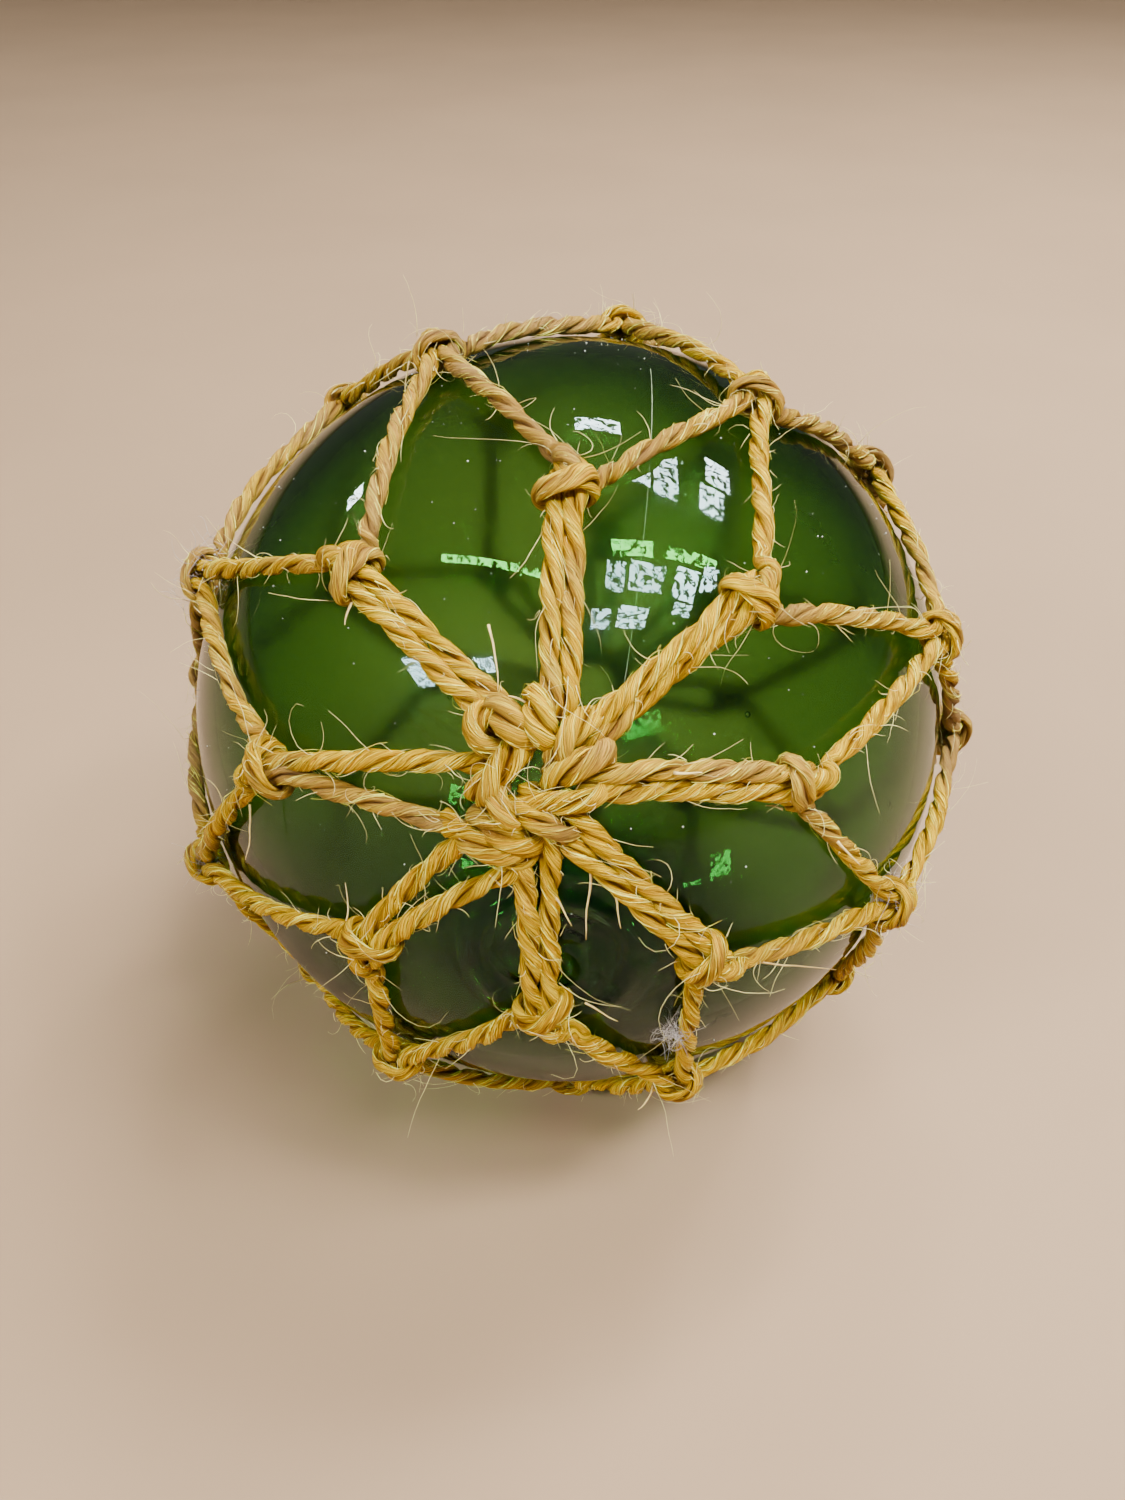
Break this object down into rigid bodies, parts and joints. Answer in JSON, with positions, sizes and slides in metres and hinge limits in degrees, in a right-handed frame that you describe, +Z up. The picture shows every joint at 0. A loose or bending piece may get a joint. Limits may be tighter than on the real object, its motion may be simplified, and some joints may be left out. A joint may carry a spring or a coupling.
{
  "type": "glass float ball",
  "caption": "Hollow green glass fishing float with a fused seal button, held in a knotted natural-fibre cord net, lying loose on its side.",
  "frame": {"origin": "on the surface that the float lies on, straight under the middle of the glass ball", "axes": "+Z up, the crown of the net leans up towards -Y, +X to the right seen from the crown's side"},
  "size_m": [0.1382, 0.1388, 0.1308],
  "materials": {
    "green_glass": "clear bottle-green blown glass, glossy, with seeds, fine scratches and a little dust",
    "manila_cord": "two-strand golden yellow natural-fibre cord with stray fibres, browner and dirty in places"
  },
  "bodies": {
    "root": {"glass_ball": "green_glass", "cord_net": "manila_cord"}
  },
  "joints": []
}
